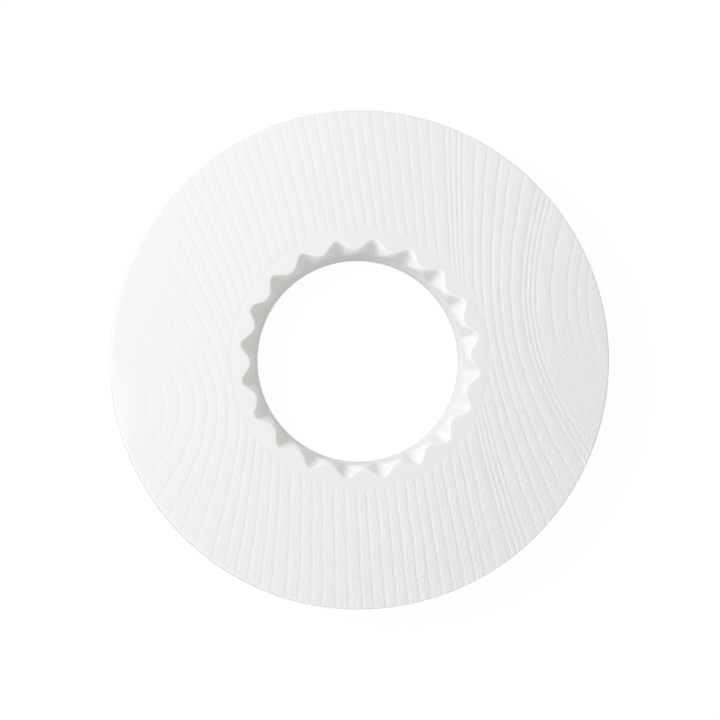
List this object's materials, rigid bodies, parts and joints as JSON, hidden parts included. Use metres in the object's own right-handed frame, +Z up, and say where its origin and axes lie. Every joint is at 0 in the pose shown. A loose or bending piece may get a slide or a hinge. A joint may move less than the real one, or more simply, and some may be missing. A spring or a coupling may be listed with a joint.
{
  "type": "coffee dripper holder",
  "caption": "Flat round holder plate with wood grain and a drop-in bush, whose notched conical seat carries a pleated coffee dripper over a mug.",
  "frame": {"origin": "centre of the plate's underside, on the axis of the spout bore", "axes": "+Z up along the bore, +X to the right and +Y away in the picture's view from above"},
  "size_m": [0.11, 0.11, 0.01],
  "materials": {
    "white_brushed_wood": "matt white open-pore lacquer over brushed grain",
    "white_resin": "smooth matt"
  },
  "bodies": {
    "plate": {"plate": "white_brushed_wood"},
    "seat_bush": {"seat_bush": "white_resin"}
  },
  "joints": [
    {"name": "seat_bush_lift", "type": "slide", "parent": "plate", "child": "seat_bush", "axis": [0, 0, 1], "range_m": [0, 0.02]}
  ]
}
